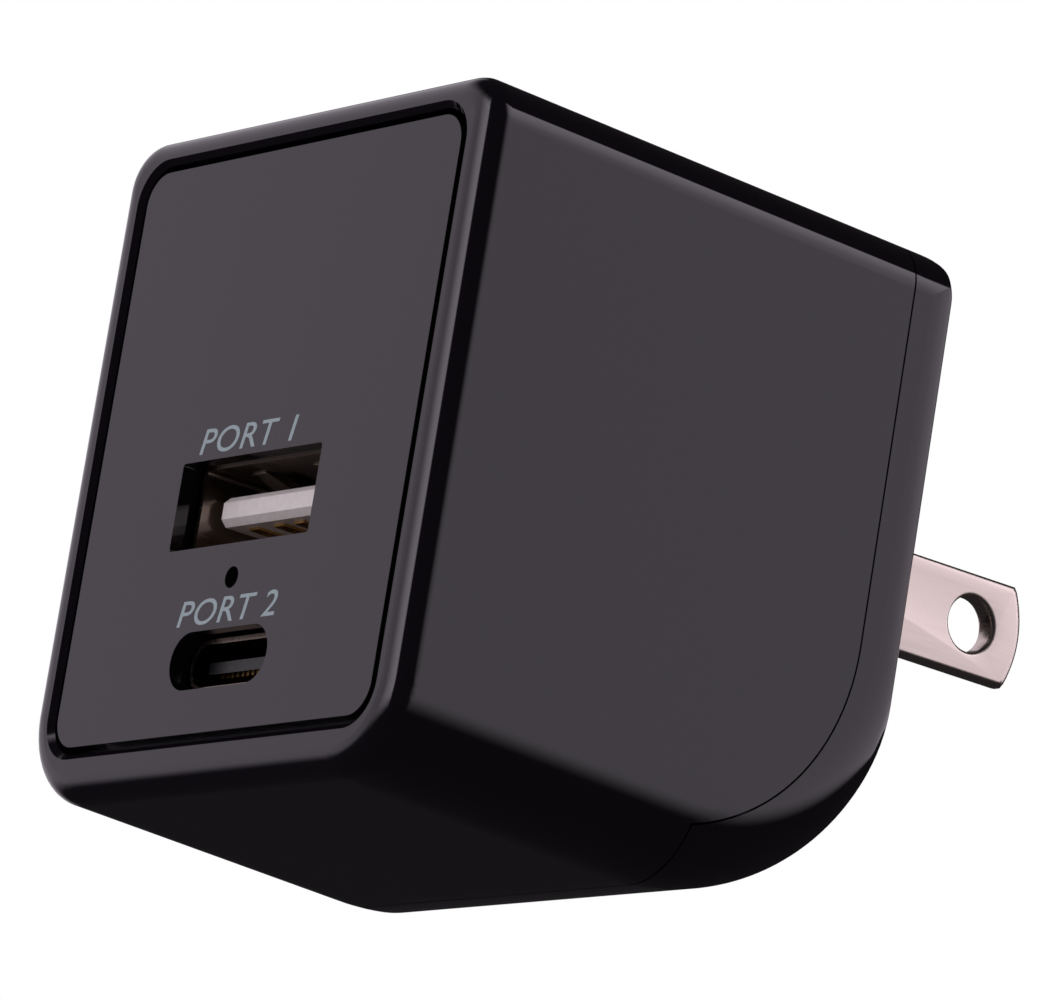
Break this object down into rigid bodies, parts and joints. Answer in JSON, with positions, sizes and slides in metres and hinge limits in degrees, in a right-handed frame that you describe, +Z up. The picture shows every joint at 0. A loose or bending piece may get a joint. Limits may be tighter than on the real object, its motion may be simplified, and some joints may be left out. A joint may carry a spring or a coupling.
{
  "type": "usb wall charger",
  "caption": "Compact plug-in wall charger with a glossy black casing, two fixed flat blades, an upper rectangular charging port and a lower oval one.",
  "frame": {"origin": "on the wall face, midway between the two blades", "axes": "+Y along the blades into the wall socket, +Z up, +X to the right when looking at the ports"},
  "size_m": [0.0368, 0.0531, 0.0421],
  "materials": {
    "casing": "polished black polycarbonate",
    "panel": "polished black polycarbonate",
    "blade_metal": "nickel plated brass, satin",
    "holder_plastic": "natural nylon",
    "light_pipe": "clear polycarbonate",
    "port_steel": "nickel plated steel",
    "tongue_white": "white liquid crystal polymer",
    "tongue_black": "black liquid crystal polymer",
    "contact_gold": "gold plated phosphor bronze",
    "board": "green solder mask",
    "ferrite": "manganese zinc ferrite",
    "bobbin_plastic": "black phenolic",
    "copper": "enamelled copper wire",
    "triple_wire": "yellow insulated wire",
    "tape": "yellow polyester tape",
    "tinned": "tinned copper",
    "capacitor_can": "bright drawn aluminium",
    "sleeve": "black shrink sleeve",
    "bung_rubber": "butyl rubber",
    "chip_black": "moulded epoxy",
    "resistor_blue": "blue lacquer",
    "capacitor_blue": "blue epoxy dip",
    "base_plastic": "black moulded base",
    "chip_ceramic": "sintered ceramic",
    "barrier_film": "white polyester film",
    "pad_silicone": "grey blue silicone",
    "light_chip": "light chip"
  },
  "bodies": {
    "root": {"blade_holder": "holder_plastic", "blade_left": "blade_metal", "blade_right": "blade_metal", "board_link_pins": "tinned", "bridge_rectifier": "chip_black", "chip_capacitors": "chip_ceramic", "chip_resistors": "chip_black", "contact_spring_left": "port_steel", "contact_spring_right": "port_steel", "front_panel": "panel", "fuse_resistor": "resistor_blue", "indicator_light": "light_chip", "input_capacitor_1_bung": "bung_rubber", "input_capacitor_1_can": "capacitor_can", "input_capacitor_1_leads": "tinned", "input_capacitor_1_sleeve": "sleeve", "input_capacitor_2_bung": "bung_rubber", "input_capacitor_2_can": "capacitor_can", "input_capacitor_2_leads": "tinned", "input_capacitor_2_sleeve": "sleeve", "input_choke_core": "ferrite", "input_choke_winding": "copper", "insulating_barrier": "barrier_film", "light_pipe": "light_pipe", "main_board": "board", "main_housing": "casing", "output_capacitor_1_base": "base_plastic", "output_capacitor_1_can": "capacitor_can", "output_capacitor_2_base": "base_plastic", "output_capacitor_2_can": "capacitor_can", "output_rectifier": "chip_black", "port_a_contacts": "contact_gold", "port_a_insulator": "tongue_white", "port_a_shell": "port_steel", "port_board": "board", "port_c_contacts": "contact_gold", "port_c_shell": "port_steel", "port_c_tongue": "tongue_black", "port_controller": "chip_black", "primary_controller": "chip_black", "primary_winding": "copper", "rear_cover": "casing", "safety_capacitor": "capacitor_blue", "safety_capacitor_leads": "tinned", "secondary_winding": "triple_wire", "solder_joints": "tinned", "thermal_pad": "pad_silicone", "transformer_bobbin": "bobbin_plastic", "transformer_core_front": "ferrite", "transformer_core_rear": "ferrite", "transformer_pins": "tinned", "transformer_tape": "tape"}
  },
  "joints": []
}
